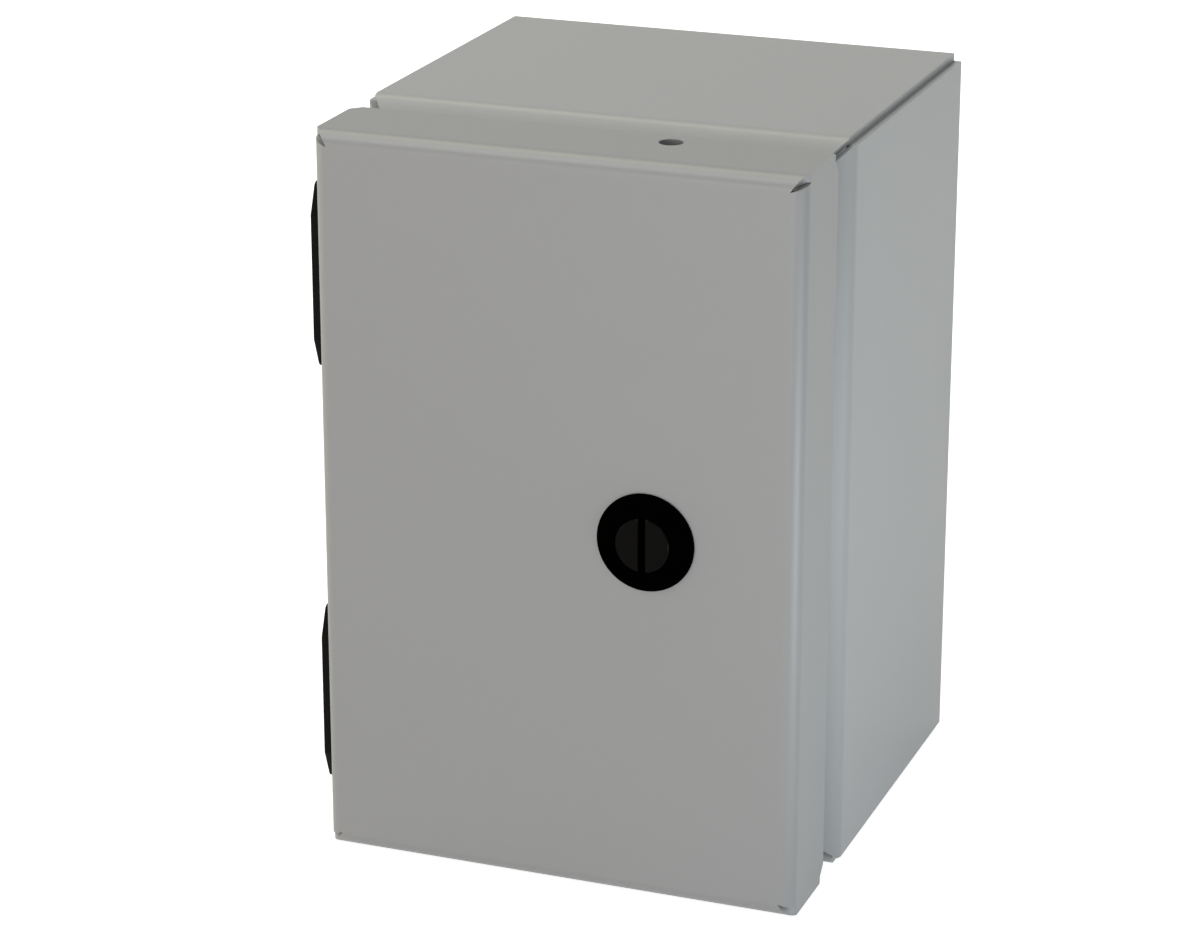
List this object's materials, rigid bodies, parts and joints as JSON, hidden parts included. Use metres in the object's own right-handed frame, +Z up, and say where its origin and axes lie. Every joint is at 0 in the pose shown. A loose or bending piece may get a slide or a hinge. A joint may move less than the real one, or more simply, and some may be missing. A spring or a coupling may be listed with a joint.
{
  "type": "steel wall enclosure",
  "caption": "Small wall-mounted steel enclosure with a side-hinged flanged door, a slotted quarter-turn latch, two outside hinges, an inner collar and a foam gasket.",
  "frame": {"origin": "centre of the back face and of its four wall fixing holes", "axes": "+Z up, door towards -Y, +X towards the door's latch edge seen from the front"},
  "size_m": [0.1069, 0.1055, 0.1524],
  "materials": {
    "grey_powder_coat": "satin light grey powder coat",
    "zinc_plate": "bright zinc plate",
    "black_die_cast": "satin black",
    "black_screw": "satin black",
    "bezel_black": "deep satin black",
    "insert_black": "satin black with a machined slot",
    "foam_rubber": "closed-cell foam",
    "seal_rubber": "smooth black rubber"
  },
  "bodies": {
    "enclosure": {"top_panel": "grey_powder_coat", "bottom_panel": "grey_powder_coat", "left_panel": "grey_powder_coat", "right_panel": "grey_powder_coat", "back_panel": "grey_powder_coat", "seam_welds": "grey_powder_coat", "panel_studs": "zinc_plate", "box_earth_stud": "zinc_plate", "box_earth_nut": "zinc_plate", "upper_hinge_body_leaf": "black_die_cast", "upper_hinge_pin": "zinc_plate", "lower_hinge_body_leaf": "black_die_cast", "lower_hinge_pin": "zinc_plate", "hinge_body_screws": "black_screw", "hinge_body_nuts": "zinc_plate"},
    "door": {"door_panel": "grey_powder_coat", "door_gasket": "foam_rubber", "door_earth_stud": "zinc_plate", "door_earth_nut": "zinc_plate", "upper_hinge_door_leaf": "black_die_cast", "lower_hinge_door_leaf": "black_die_cast", "hinge_door_screws": "black_screw", "hinge_door_nuts": "zinc_plate", "latch_housing": "bezel_black", "latch_seal": "seal_rubber", "latch_nut": "zinc_plate"},
    "latch": {"latch_spindle": "insert_black", "spindle_oring": "seal_rubber", "latch_cam": "zinc_plate", "cam_washer": "zinc_plate", "cam_screw": "zinc_plate"}
  },
  "joints": [
    {"name": "door_swing", "type": "hinge", "parent": "enclosure", "child": "door", "pos_m": [-0.0529, -0.07902, 0], "axis": [0, 0, -1], "range_deg": [0, 170]},
    {"name": "latch_turn", "type": "hinge", "parent": "door", "child": "latch", "pos_m": [0.019, -0.10312, 0], "axis": [0, -1, 0], "range_deg": [0, 90]}
  ]
}
